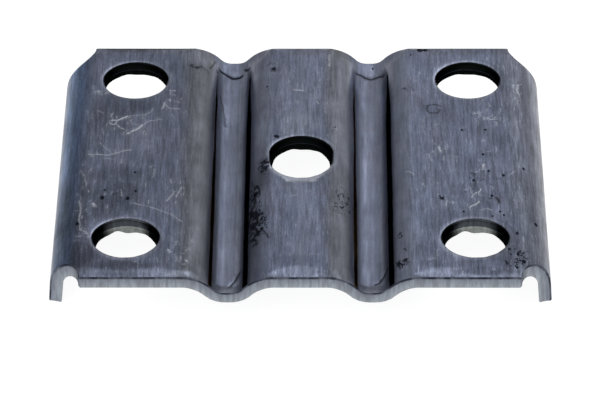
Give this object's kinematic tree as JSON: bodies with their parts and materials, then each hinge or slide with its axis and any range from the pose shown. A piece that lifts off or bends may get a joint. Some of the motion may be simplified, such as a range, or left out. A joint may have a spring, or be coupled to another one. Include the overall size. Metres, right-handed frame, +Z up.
{
  "type": "spring tie plate",
  "caption": "Pressed steel U-bolt plate that clamps a leaf spring to an axle, with two stiffening beads and two folded sides.",
  "frame": {"origin": "on the floor under the centre hole, midway between the folded sides and between the cut ends", "axes": "+X across the beads, +Y along the beads, +Z up through the top of the plate"},
  "size_m": [0.105, 0.087, 0.0112],
  "materials": {
    "steel": "dark hot-rolled sheet, worn and lightly scratched"
  },
  "bodies": {
    "root": {"tie_plate": "steel"}
  },
  "joints": []
}
